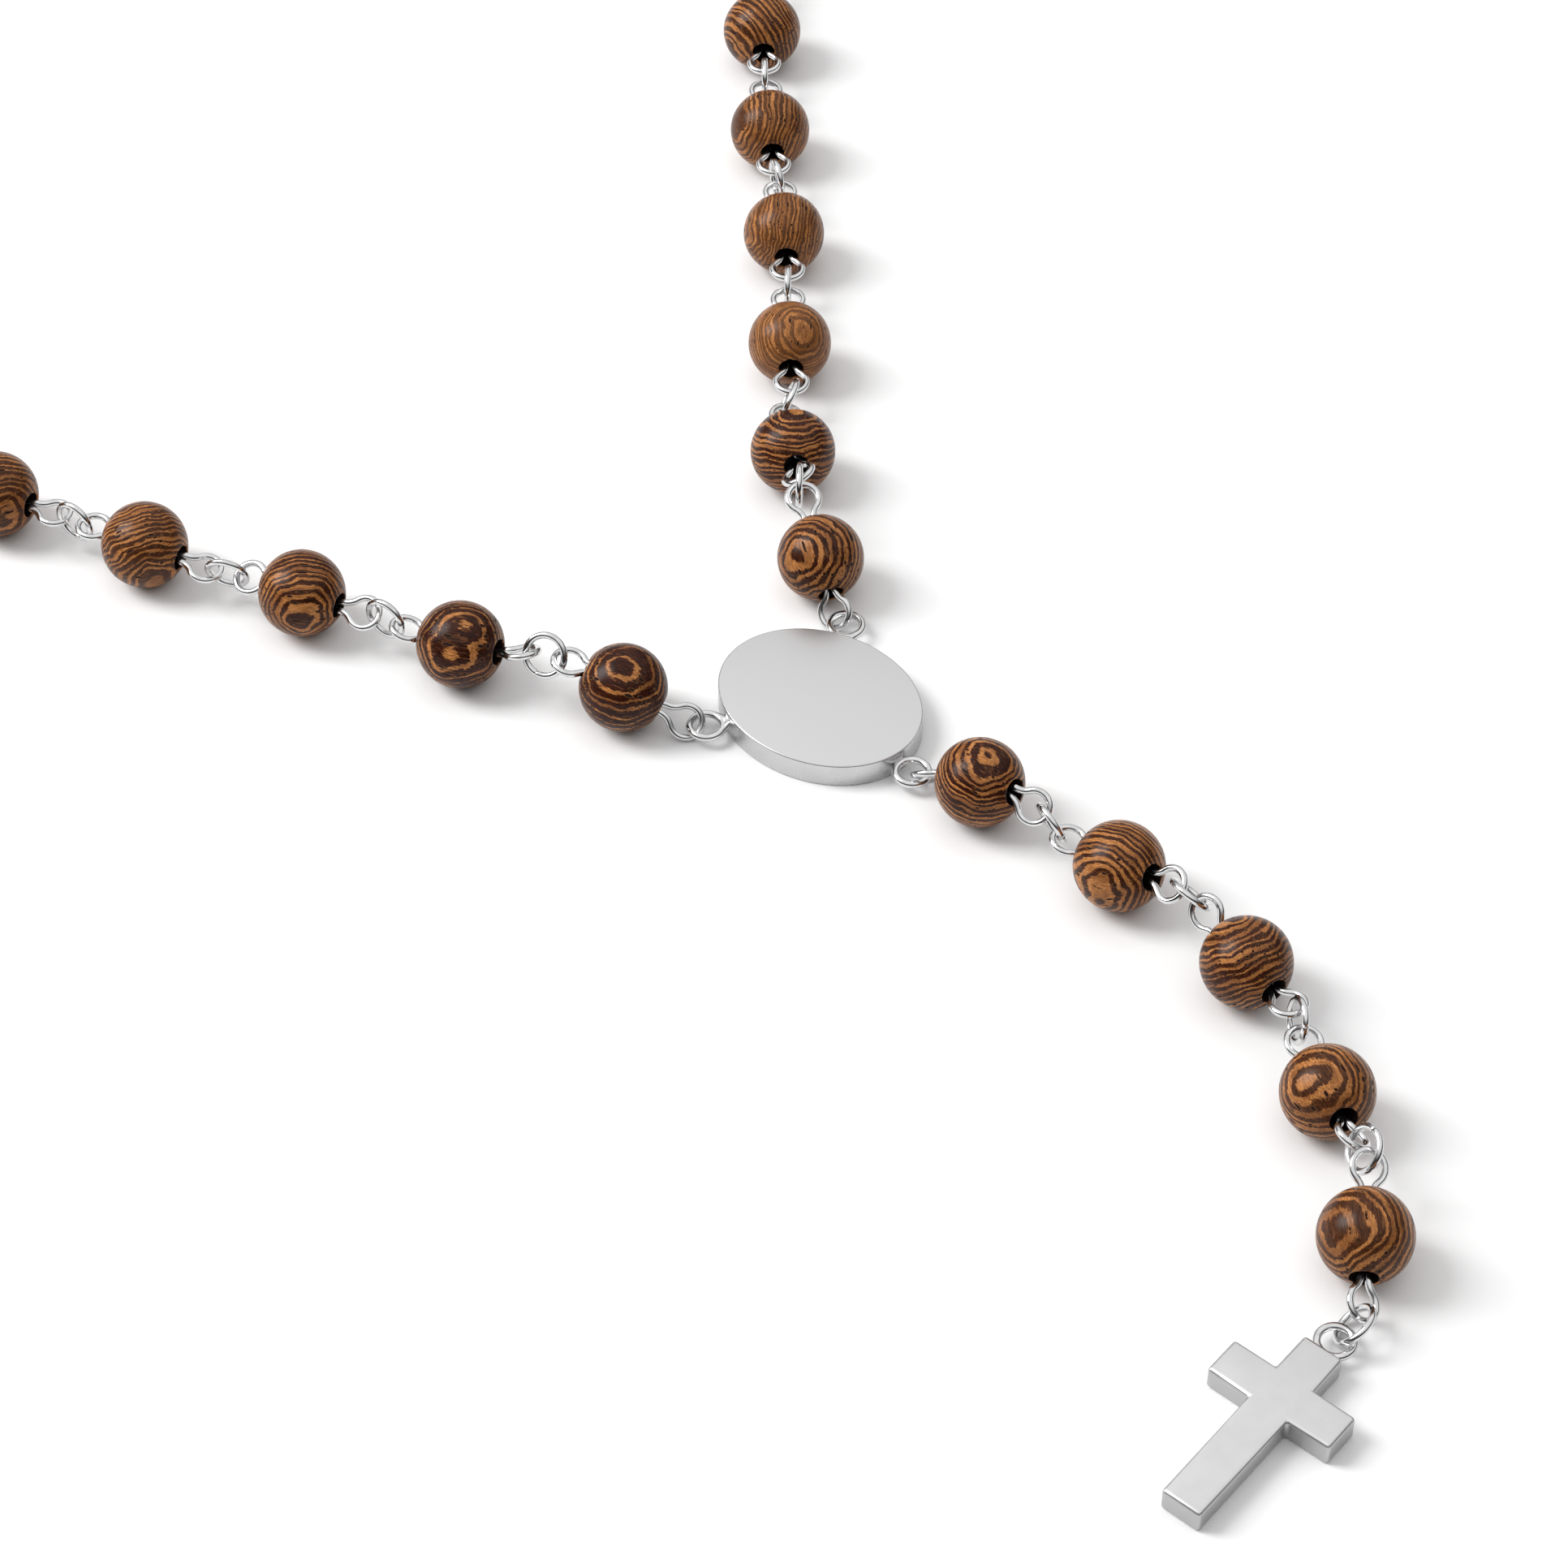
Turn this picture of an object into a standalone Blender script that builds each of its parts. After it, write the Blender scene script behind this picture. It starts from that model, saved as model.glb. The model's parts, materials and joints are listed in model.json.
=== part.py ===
"""Rosary: round wooden beads on wire eye pins, linked by jump rings to an oval medal and a cross.

Metres, +Z up. The origin is the middle of the medal's underside, the drop of beads leaves it
towards -Y, and the whole chain lies on the plane z = 0.
"""
import math

import bmesh
import bpy
from mathutils import Matrix, Vector

MM = 0.001
UP = Vector((0.0, 0.0, 1.0))

# Driving sizes
BEAD_R = 4.0 * MM
BORE_R = 1.15 * MM
WIRE_R = 0.34 * MM
EYE_R = 1.45 * MM         # eye of a pin, to the middle of its wire
REACH = 7.3 * MM          # bead centre to the far side of an eye, to the middle of the wire
MOUTH = 3.6 * MM          # where a pin's straight shank ends and its eye starts
RING_R = 1.85 * MM        # jump ring, to the middle of its wire
MEDAL_HALF = (7.95 * MM, 9.85 * MM)
MEDAL_TURN = 8.0          # of its long way from the line of the drop, counterclockwise
MEDAL_T = 2.5 * MM
MEDAL_EDGE = 0.15 * MM
LUG_WIRE = 0.36 * MM      # soldered rings of the medal and the cross
LUG_R = 1.5 * MM
LUG_ANGLE = 58.5          # arms' lugs, either side of +Y
LUG_OUT = 10.5 * MM
DROP_LUG_OUT = 11.5 * MM
CROSS_LENGTH = 19.0 * MM
CROSS_SPAN = 11.7 * MM
CROSS_BAR = 3.7 * MM
CROSS_T = 2.4 * MM
CROSS_BEAM = 5.75 * MM    # head of the cross to the middle of its beam
CROSS_EDGE = 0.35 * MM
CROSS_LUG = (-20.7 * MM, -77.8 * MM)
CROSS_HEADING = -175.0    # from the head to the foot
LOOP_R = 119.6 * MM       # unseen far part of the loop
LOOP_CENTRE = (34.0 * MM, 215.0 * MM)
LOOP_PITCHES = 44
STRANDS = {"right": (5, 5, 4, 4, 4), "left": (5, 4, 4, 4, 4)}

# How the chain lies, one line a bead going outwards: step from the last bead (from the lug's
# middle for the first) and its direction, slope of the pin, then lift and roll of its near eye,
# of its far eye, and the roll and sag of the jump ring beyond. Sizes in mm, angles in degrees.
LAY = {
    "left": [
        (7.7, 119, 22, (-25, -45), (11, 1), (-56, -0.1)),
        (15.8, 115, -6, (20, 24), (13, 9), (-89, 0.1)),
        (16.2, 111, 2, (2, -28), (-8, -28), (-105, 0.2)),
        (16.3, 112, 3, (-7, -3), (0, 0), (90, 0.2)),
        (16.1, 110, 0, (0, 0), (0, 0), (90, 0.0)),
    ],
    "right": [
        (6.5, 66, 20, (-40, -45), (19, 0), (90, 0.3)),
        (14.6, 55, -20, (20, -29), (2, 10), (118, 0.1)),
        (15.4, 46, 0, (-3, 1), (0, 0), (90, 0.3)),
        (16.4, 47, 0, (0, 0), (0, 0), (89, 0.2)),
        (16.3, 50, 0, (0, 0), (0, 0), (90, 0.2)),
        (16.4, 48, 0, (0, 0), (0, 0), (90, 0.2)),
    ],
    "drop": [
        (6.9, -78, 16, (-38, -45), (-12, 46), (-60, -0.1)),
        (15.3, -85, 20, (5, -1), (18, 45), (-33, 0.1)),
        (14.9, -92, 0, (20, 57), (11, -2), (75, 0.3)),
        (15.1, -113, 13, (10, -1), (10, -36), (50, 0.0)),
        (14.8, -128, -10, (25, -21), (-17, -41), (23, 0.0)),
    ],
}
SLIDE = {"left": 0.5, "right": -0.4, "drop": 0.0}   # bead off the middle of its pin, outwards

TIP = 60                  # a ring or eye either way on the wire it hangs on
TURN = 60                 # an arm of the loop, away from the other arm
ROUND_LUG = {"left": (0, 50), "right": (-50, 0), "drop": (-50, 50), "cross": (-50, 38)}
STOPS = {                 # where slanting wires meet sooner
    "left_ring_1": (-60, 34),
    "drop_pin_2": (-25, 60),
    "drop_pin_3": (-25, 60),
    "drop_pin_5": (-30, 45),
    "drop_ring_5": (-60, 50),
}

BEAD_SIDES = 14
WIRE_RESOLUTION = 1       # bevel resolution: six-sided
BALL_RESOLUTION = 2       # eight-sided


def heading(degrees):
    a = math.radians(degrees)
    return Vector((math.cos(a), math.sin(a), 0.0))


def angle_of(v):
    return math.degrees(math.atan2(v.y, v.x))


def lifted(flat, degrees):
    """The level direction flat, raised by an angle."""
    a = math.radians(degrees)
    return flat * math.cos(a) + UP * math.sin(a)


def rolled(along, outward, degrees):
    """The side of a loop lying along a direction: level at 0, upright at 90."""
    level = UP.cross(outward).normalized()
    over = outward.cross(level).normalized()
    a = math.radians(degrees)
    side = level * math.cos(a) + over * math.sin(a)
    return (side - along * side.dot(along)).normalized()


# ---------------------------------------------------------------- meshes

def new_material(name, colour, metallic, roughness):
    m = bpy.data.materials.new(name)
    m.use_nodes = True
    b = m.node_tree.nodes["Principled BSDF"]
    b.inputs["Base Color"].default_value = (*colour, 1.0)
    b.inputs["Metallic"].default_value = metallic
    b.inputs["Roughness"].default_value = roughness
    m.diffuse_color = (*colour, 1.0)
    return m


def new_object(name, bm, material, origin, collection):
    """A named solid whose own origin is on its joint."""
    bmesh.ops.recalc_face_normals(bm, faces=bm.faces)
    bmesh.ops.translate(bm, verts=bm.verts, vec=-origin)
    mesh = bpy.data.meshes.new(name)
    bm.to_mesh(mesh)
    bm.free()
    mesh.materials.append(material)
    mesh.shade_smooth()
    mesh.set_sharp_from_angle(angle=math.radians(40))
    ob = bpy.data.objects.new(name, mesh)
    ob.location = origin
    collection.objects.link(ob)
    return ob


def solid_of(curve):
    """A curve's solid as an editable mesh with its caps welded. The curve is used up."""
    ob = bpy.data.objects.new(curve.name, curve)
    bpy.context.scene.collection.objects.link(ob)
    graph = bpy.context.evaluated_depsgraph_get()
    mesh = bpy.data.meshes.new_from_object(ob.evaluated_get(graph))
    bm = bmesh.new()
    bm.from_mesh(mesh)
    bmesh.ops.remove_doubles(bm, verts=bm.verts, dist=0.001 * MM)
    bpy.data.objects.remove(ob)
    bpy.data.curves.remove(curve)
    bpy.data.meshes.remove(mesh)
    return bm


def tube(path, radii, resolution=WIRE_RESOLUTION, closed=False):
    """A round bar along a path, with its radius at each point."""
    curve = bpy.data.curves.new("tube", "CURVE")
    curve.dimensions = "3D"
    curve.bevel_depth = WIRE_R
    curve.bevel_resolution = resolution
    curve.use_fill_caps = not closed
    spline = curve.splines.new("POLY")
    spline.points.add(len(path) - 1)
    spline.use_cyclic_u = closed
    for point, p, r in zip(spline.points, path, radii):
        point.co = (*p, 1.0)
        point.radius = r / WIRE_R
    return solid_of(curve)


def hoop(centre, along, side, radius, count):
    out = []
    for k in range(count):
        w = 2 * math.pi * (k + 0.5) / count
        out.append(centre + along * radius * math.cos(w) + side * radius * math.sin(w))
    return out


def new_bead(name, bead, material, collection):
    """A drilled ball, turned about its own X axis, with the mouths of its hole eased."""
    mouth = math.asin(BORE_R / BEAD_R)
    ease = 0.22 * MM
    lip = BEAD_R * math.cos(mouth)
    profile = [(lip - 1.6 * ease, BORE_R), (lip - 0.4 * ease, BORE_R + ease)]
    steps = 5
    first = mouth + 0.14
    for k in range(steps + 1):
        w = first + (math.pi - 2 * first) * k / steps
        profile.append((BEAD_R * math.cos(w), BEAD_R * math.sin(w)))
    profile += [(-lip + 0.4 * ease, BORE_R + ease), (-lip + 1.6 * ease, BORE_R)]
    mesh = bpy.data.meshes.new(name)
    edges = [(k, (k + 1) % len(profile)) for k in range(len(profile))]
    mesh.from_pydata([(x, 0.0, r) for x, r in profile], edges, [])
    mesh.materials.append(material)
    ob = bpy.data.objects.new(name, mesh)
    turned = ob.modifiers.new("turned", "SCREW")
    turned.axis = "X"
    turned.steps = BEAD_SIDES
    turned.render_steps = BEAD_SIDES
    turned.use_merge_vertices = True
    turned.merge_threshold = 0.00001
    ob.location = bead.centre
    ob.rotation_mode = "QUATERNION"
    ob.rotation_quaternion = Vector((1, 0, 0)).rotation_difference(bead.axis)
    collection.objects.link(ob)
    return ob


def eye_path(centre, shank, along, side, reach, radius=EYE_R, count=9):
    """From the shank's end round an eye to its cut end, which returns to the bore."""
    foot = centre + shank * MOUTH
    length = reach - MOUTH
    out = [centre + shank * (MOUTH - 0.9 * MM)]
    span = math.radians(148)
    for k in range(count):
        w = -span + 2 * span * k / (count - 1)
        out.append(foot + along * (length - radius + radius * math.cos(w)) + side * radius * math.sin(w))
    out.append(foot + along * 0.15 * MM + side * 0.42 * MM)
    return out


def joined(parts):
    """One closed mesh from overlapping closed ones."""
    scene = bpy.context.scene.collection
    made = []
    for i, bm in enumerate(parts):
        bmesh.ops.recalc_face_normals(bm, faces=bm.faces)
        mesh = bpy.data.meshes.new("join_%d" % i)
        bm.to_mesh(mesh)
        bm.free()
        ob = bpy.data.objects.new("join_%d" % i, mesh)
        scene.objects.link(ob)
        made.append(ob)
    for other in made[1:]:
        m = made[0].modifiers.new(other.name, "BOOLEAN")
        m.operation = "UNION"
        m.solver = "EXACT"
        m.object = other
    graph = bpy.context.evaluated_depsgraph_get()
    out = bmesh.new()
    out.from_mesh(made[0].evaluated_get(graph).to_mesh())
    for ob in made:
        bpy.data.objects.remove(ob)
    bmesh.ops.remove_doubles(out, verts=out.verts, dist=0.002 * MM)
    bmesh.ops.dissolve_degenerate(out, edges=out.edges, dist=0.001 * MM)
    return out


# ---------------------------------------------------------------- how it lies

class Loop:
    """A wire eye: its far point, the direction it points and its side."""

    def __init__(self, tip, along, side):
        self.tip, self.along, self.side = tip, along, side


class Bead:
    def __init__(self, centre, flat, slope, near, far, slide):
        self.centre = centre
        self.axis = lifted(flat, slope)
        self.near_reach = REACH + slide
        self.far_reach = REACH - slide
        back, on = lifted(-flat, near[0]), lifted(flat, far[0])
        self.near = Loop(centre - self.axis * MOUTH + back * (self.near_reach - MOUTH), back,
                         rolled(back, flat, near[1]))
        self.far = Loop(centre + self.axis * MOUTH + on * (self.far_reach - MOUTH), on,
                        rolled(on, flat, far[1]))


class Ring:
    """A jump ring through two eyes, with the point where the next eye hangs on it."""

    def __init__(self, a, b, roll, sag):
        chord = b.tip - a.tip
        if chord.length < 0.4 * MM:
            chord = a.along - b.along
        self.along = chord.normalized()
        self.side = rolled(self.along, self.along, roll)
        self.centre = (a.tip + b.tip) / 2 - self.side * sag * MM
        half = math.sqrt(RING_R ** 2 - (sag * MM) ** 2)
        self.next_point = (a.tip + b.tip) / 2 + self.along * half
        spoke = (self.next_point - self.centre).normalized()
        self.tangent = (self.side - spoke * self.side.dot(spoke)).normalized()


def lug(angle, out):
    return heading(angle) * out + UP * (MEDAL_T / 2)


LUGS = {
    "left": lug(90 + LUG_ANGLE, LUG_OUT),
    "right": lug(90 - LUG_ANGLE, LUG_OUT),
    "drop": lug(-90, DROP_LUG_OUT),
}
CROSS_LUG_POINT = Vector((CROSS_LUG[0], CROSS_LUG[1], CROSS_T / 2))


def centres(arm):
    p = Vector((LUGS[arm].x, LUGS[arm].y, BEAD_R))
    out = []
    for row in LAY[arm]:
        p = p + heading(row[1]) * row[0] * MM
        out.append(p)
    return out


def tangent_point(p, side):
    """Where the line from p touches the loop's circle."""
    c = Vector((LOOP_CENTRE[0], LOOP_CENTRE[1], p.z))
    d = c - p
    a = math.atan2(d.y, d.x) + side * math.asin(LOOP_R / d.length)
    return p + Vector((math.cos(a), math.sin(a), 0.0)) * math.sqrt(d.length ** 2 - LOOP_R ** 2)


def far_loop(start, end):
    """Evenly spaced points from the right arm's last bead, round the loop, to the left arm's."""
    c = Vector((LOOP_CENTRE[0], LOOP_CENTRE[1], start.z))
    on, off = tangent_point(start, -1), tangent_point(end, 1)
    a0 = math.atan2(on.y - c.y, on.x - c.x)
    a1 = math.atan2(off.y - c.y, off.x - c.x)
    if a1 < a0:
        a1 += 2 * math.pi
    straight = (on - start).length
    round_part = (a1 - a0) * LOOP_R
    last = (end - off).length
    total = straight + round_part + last
    out = []
    for k in range(LOOP_PITCHES + 1):
        s = total * k / LOOP_PITCHES
        if s < straight:
            out.append(start.lerp(on, s / straight))
        elif s < straight + round_part:
            a = a0 + (s - straight) / LOOP_R
            out.append(c + Vector((math.cos(a), math.sin(a), 0.0)) * LOOP_R)
        else:
            out.append(off.lerp(end, (s - straight - round_part) / last))
    return out


RIGHT, LEFT, DROP = centres("right"), centres("left"), centres("drop")
FAR = far_loop(RIGHT[-1], LEFT[-1])
RIGHT_FAR = FAR[1:1 + sum(STRANDS["right"])]
LEFT_FAR = FAR[-2:-2 - sum(STRANDS["left"]):-1]


def bisector(a, b, c):
    return ((b - a).normalized() + (c - b).normalized()).normalized()


def level(v):
    return Vector((v.x, v.y, 0.0)).normalized()


def lay_arm(arm, points, beyond):
    """The beads and jump rings of one arm."""
    lug_at = Vector((LUGS[arm].x, LUGS[arm].y, BEAD_R))
    line = [lug_at] + points + [beyond]
    beads = []
    for i, row in enumerate(LAY[arm]):
        flat = level(bisector(line[i], line[i + 1], line[i + 2]))
        beads.append(Bead(points[i], flat, row[2], row[3], row[4], SLIDE[arm] * MM))
    return beads


def lay_strand(points, before, after):
    beads = []
    line = [before] + points + [after]
    for i in range(len(points)):
        flat = level(bisector(line[i], line[i + 1], line[i + 2]))
        beads.append(Bead(points[i], flat, 0, (0, 0), (0, 0), 0.0))
    return beads


ARMS = {
    "left": lay_arm("left", LEFT, LEFT_FAR[0]),
    "right": lay_arm("right", RIGHT, RIGHT_FAR[0]),
    "drop": lay_arm("drop", DROP, Vector((CROSS_LUG_POINT.x, CROSS_LUG_POINT.y, BEAD_R))),
}
CROSS_FLAT = heading(CROSS_HEADING)
CROSS_EYE = Loop(CROSS_LUG_POINT - CROSS_FLAT * LUG_R, -CROSS_FLAT, UP.cross(CROSS_FLAT))


def strand_groups(arm):
    """Bead groups of the unseen part, each with the points either side of it."""
    points = RIGHT_FAR if arm == "right" else LEFT_FAR
    last_seen = RIGHT[-1] if arm == "right" else LEFT[-1]
    closing = LEFT_FAR[-1] if arm == "right" else RIGHT_FAR[-1]
    line = [last_seen] + points + [closing]
    out = []
    at = 1
    for count in STRANDS[arm]:
        out.append(lay_strand(line[at:at + count], line[at - 1], line[at + count]))
        at += count
    return out


GROUPS = {"left": strand_groups("left"), "right": strand_groups("right")}


def lay_rings(arm):
    beads = ARMS[arm]
    out = []
    for i, row in enumerate(LAY[arm]):
        if i + 1 < len(beads):
            after = beads[i + 1].near
        else:
            after = CROSS_EYE if arm == "drop" else GROUPS[arm][0][0].near
        out.append(Ring(beads[i].far, after, *row[5]))
    return out


RINGS = {arm: lay_rings(arm) for arm in LAY}


# ---------------------------------------------------------------- joints
# Each entry: name, parent, child, point, axis, low and high in degrees (None turns for ever).

JOINTS = []


def joint(name, parent, child, point, axis, low, high):
    JOINTS.append((name, parent, child, point.copy(), axis.normalized(), low, high))


def swing(name, parent, child, point, axis, arm, n):
    """A loop hanging on a loop. An arm of the big loop turns only away from the other arm."""
    axis = axis.normalized()
    if n % 2:
        axis = -axis
    if arm == "drop" or abs(axis.z) < 0.3:
        joint(name, parent, child, point, axis, *STOPS.get(name, (-TIP, TIP)))
        return
    outwards = 1 if arm == "left" else -1
    if axis.z * outwards > 0:
        joint(name, parent, child, point, axis, 0, TURN)
    else:
        joint(name, parent, child, point, axis, -TURN, 0)


def arm_joints(arm):
    for i, bead in enumerate(ARMS[arm]):
        n = i + 1
        pin = "%s_pin_%d" % (arm, n)
        if i == 0:
            joint(pin, "medal", pin, LUGS[arm], UP, *ROUND_LUG[arm])
        else:
            ring = RINGS[arm][i - 1]
            swing(pin, "%s_ring_%d" % (arm, i), pin, ring.next_point, ring.tangent, arm, i)
        spin = "%s_bead_%d" % (arm, n)
        joint(spin, pin, spin, bead.centre, bead.axis, None, None)
        ring_name = "%s_ring_%d" % (arm, n)
        swing(ring_name, pin, ring_name, bead.far.tip, bead.far.side, arm, i)


def strand_joints(arm):
    last = "%s_ring_%d" % (arm, len(ARMS[arm]))
    for k, beads in enumerate(GROUPS[arm]):
        name = "%s_strand_%d" % (arm, k + 1)
        if k == 0:
            ring = RINGS[arm][-1]
            swing(name, last, name, ring.next_point, ring.tangent, arm, k)
        else:
            swing(name, last, name, beads[0].near.tip, beads[0].near.side, arm, k)
        last = name


for arm_name in LAY:
    arm_joints(arm_name)
    if arm_name != "drop":
        strand_joints(arm_name)
joint("cross", "drop_ring_5", "cross", CROSS_LUG_POINT, UP, *ROUND_LUG["cross"])
ORIGINS = {j[2]: j[3] for j in JOINTS}


# ---------------------------------------------------------------- solids

def lug_parts(centre, outward, bm_list, foot):
    """A soldered ring lying flat and the small neck that joins it to its plate."""
    side = UP.cross(outward)
    path = hoop(centre, outward, side, LUG_R, 12)
    bm_list.append(tube(path, [LUG_WIRE] * len(path), closed=True))
    inner = centre - outward * LUG_R
    neck = [inner - outward * foot, inner - outward * 0.45 * MM, inner + outward * 0.02 * MM]
    bm_list.append(tube(neck, [0.62 * MM, 0.42 * MM, 0.22 * MM], BALL_RESOLUTION))


def sharp_edges(bm, degrees):
    limit = math.radians(degrees)
    return [e for e in bm.edges if e.calc_face_angle(0.0) > limit]


def medal_mesh():
    """An oval plate with its rims rounded and three soldered rings."""
    bm = bmesh.new()
    bmesh.ops.create_cone(bm, cap_ends=True, segments=40, radius1=1.0, radius2=1.0, depth=1.0)
    bmesh.ops.scale(bm, verts=bm.verts, vec=(*MEDAL_HALF, MEDAL_T))
    bmesh.ops.rotate(bm, verts=bm.verts, matrix=Matrix.Rotation(math.radians(MEDAL_TURN), 3, "Z"))
    bmesh.ops.translate(bm, verts=bm.verts, vec=UP * MEDAL_T / 2)
    bmesh.ops.bevel(bm, geom=sharp_edges(bm, 60), offset=MEDAL_EDGE, segments=3, profile=0.5,
                    affect="EDGES", clamp_overlap=True)
    parts = [bm]
    for arm in LUGS:
        out = level(LUGS[arm])
        lug_parts(LUGS[arm], out, parts, 0.9 * MM if arm != "drop" else 0.6 * MM)
    return joined(parts)


def cross_mesh():
    """The cross from its lug to its foot, as it lies."""
    head = LUG_R + LUG_WIRE * 0.6
    half, arm = CROSS_BAR / 2, CROSS_SPAN / 2
    beam = head + CROSS_BEAM
    one_side = [(head, half), (beam - half, half), (beam - half, arm), (beam + half, arm),
                (beam + half, half), (head + CROSS_LENGTH, half)]
    outline = one_side + [(a, -s) for a, s in reversed(one_side)]
    curve = bpy.data.curves.new("outline", "CURVE")
    curve.dimensions = "2D"
    curve.fill_mode = "BOTH"
    curve.extrude = CROSS_T / 2
    spline = curve.splines.new("POLY")
    spline.points.add(len(outline) - 1)
    spline.use_cyclic_u = True
    for point, (a, s) in zip(spline.points, outline):
        point.co = (a, s, 0.0, 1.0)
    bm = solid_of(curve)
    bmesh.ops.dissolve_limit(bm, angle_limit=0.01, verts=bm.verts, edges=bm.edges)
    bmesh.ops.recalc_face_normals(bm, faces=bm.faces)
    bmesh.ops.bevel(bm, geom=sharp_edges(bm, 30), offset=CROSS_EDGE, segments=2, profile=0.5,
                    affect="EDGES", clamp_overlap=True)
    bmesh.ops.rotate(bm, verts=bm.verts, matrix=Matrix.Rotation(math.radians(CROSS_HEADING), 3, "Z"))
    bmesh.ops.translate(bm, verts=bm.verts, vec=CROSS_LUG_POINT)
    parts = [bm]
    lug_parts(CROSS_LUG_POINT, -CROSS_FLAT, parts, 0.9 * MM)
    return joined(parts)


def pin_mesh(bead):
    back = eye_path(bead.centre, -bead.axis, bead.near.along, bead.near.side, bead.near_reach)
    on = eye_path(bead.centre, bead.axis, bead.far.along, bead.far.side, bead.far_reach)
    path = list(reversed(back)) + on
    return tube(path, [WIRE_R] * len(path))


def strand_mesh(beads, open_end):
    """Beads and wire of the unseen part in one piece, an eye at one end and a ring at the other."""
    first, last = beads[0], beads[-1]
    path = list(reversed(eye_path(first.centre, -first.axis, first.near.along, first.near.side, REACH)))[:-1]
    radii = [WIRE_R] * len(path)
    for bead in beads:
        for x in (-4.0, -2.8, 0.0, 2.8, 4.0):
            r = math.sqrt(max(BEAD_R ** 2 - (x * MM) ** 2, WIRE_R ** 2))
            path.append(bead.centre + bead.axis * x * MM)
            radii.append(r)
    if open_end:
        end = eye_path(last.centre, last.axis, last.far.along, last.far.side, REACH)[1:]
        end = end[:-1]
    else:
        reach = REACH + 2.3 * MM
        end = eye_path(last.centre, last.axis, last.far.along, UP, reach, RING_R, 10)[1:-1]
    path += end
    radii += [WIRE_R] * len(end)
    return tube(path, radii, BALL_RESOLUTION)


def main():
    for ob in list(bpy.data.objects):
        bpy.data.objects.remove(ob)
    scene = bpy.context.scene
    scene.unit_settings.system = "METRIC"
    parts = bpy.data.collections.new("rosary")
    scene.collection.children.link(parts)

    new_object("medal", medal_mesh(), new_material("medal", (0.70, 0.70, 0.71), 1.0, 0.38),
               Vector((0, 0, 0)), parts)
    new_object("cross", cross_mesh(), new_material("cross", (0.72, 0.72, 0.73), 1.0, 0.42),
               ORIGINS["cross"], parts)
    for arm, beads in ARMS.items():
        for i, bead in enumerate(beads):
            n = i + 1
            name = "%s_bead_%d" % (arm, n)
            shade = 0.9 + 0.05 * ((i * 2 + len(arm)) % 5)
            new_bead(name, bead, new_material(name, (0.17 * shade, 0.075 * shade, 0.032 * shade), 0.0, 0.4),
                     parts)
            name = "%s_pin_%d" % (arm, n)
            new_object(name, pin_mesh(bead), new_material(name, (0.74, 0.74, 0.75), 1.0, 0.22),
                       ORIGINS[name], parts)
            name = "%s_ring_%d" % (arm, n)
            ring = RINGS[arm][i]
            path = hoop(ring.centre, ring.along, ring.side, RING_R, 12)
            bm = tube(path, [WIRE_R] * len(path), closed=True)
            new_object(name, bm, new_material(name, (0.76, 0.76, 0.77), 1.0, 0.2), ORIGINS[name], parts)
    for arm, groups in GROUPS.items():
        for k, beads in enumerate(groups):
            name = "%s_strand_%d" % (arm, k + 1)
            bm = strand_mesh(beads, k + 1 == len(groups))
            new_object(name, bm, new_material(name, (0.15, 0.07, 0.03), 0.0, 0.4), ORIGINS[name], parts)


main()
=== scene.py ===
"""The look of the rosary: striped hardwood beads, bent and soldered steel wire, medal and cross.

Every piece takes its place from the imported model. Lengths are in metres, and MM is one millimetre.
"""
import json
import math

import bmesh
import bpy
import numpy as np
from mathutils import Matrix, Vector


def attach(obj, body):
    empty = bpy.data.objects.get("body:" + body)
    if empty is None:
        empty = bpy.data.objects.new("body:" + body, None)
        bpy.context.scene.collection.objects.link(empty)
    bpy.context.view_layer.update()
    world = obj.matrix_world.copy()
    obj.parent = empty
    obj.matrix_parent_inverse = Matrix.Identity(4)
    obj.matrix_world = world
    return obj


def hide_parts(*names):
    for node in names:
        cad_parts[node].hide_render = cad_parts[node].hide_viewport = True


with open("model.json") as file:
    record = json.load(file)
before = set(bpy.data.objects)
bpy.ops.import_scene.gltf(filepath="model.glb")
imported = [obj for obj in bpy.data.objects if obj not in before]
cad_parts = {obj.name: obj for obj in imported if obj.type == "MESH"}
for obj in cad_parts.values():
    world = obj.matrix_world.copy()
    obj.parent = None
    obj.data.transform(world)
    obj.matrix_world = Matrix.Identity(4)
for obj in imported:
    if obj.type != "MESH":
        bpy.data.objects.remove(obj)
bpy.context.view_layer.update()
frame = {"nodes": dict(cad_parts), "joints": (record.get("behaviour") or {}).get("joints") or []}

MM = 0.001
PER_MM = 1000.0           # textures are laid out in millimetres
UP = Vector((0.0, 0.0, 1.0))

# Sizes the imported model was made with
BEAD_R = 4.0 * MM
BORE_R = 1.15 * MM
EYE_R = 1.45 * MM         # eye of a pin, to the middle of its wire
REACH = 7.3 * MM          # bead centre to the far side of an eye, to the middle of the wire
MOUTH = 3.6 * MM          # where a pin's straight shank ends
RING_R = 1.85 * MM        # jump ring, to the middle of its wire
LUG_R = 1.5 * MM          # soldered loop, to the middle of its wire
LUG_WIRE = 0.36 * MM
CROSS_EDGE = 0.35 * MM

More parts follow.
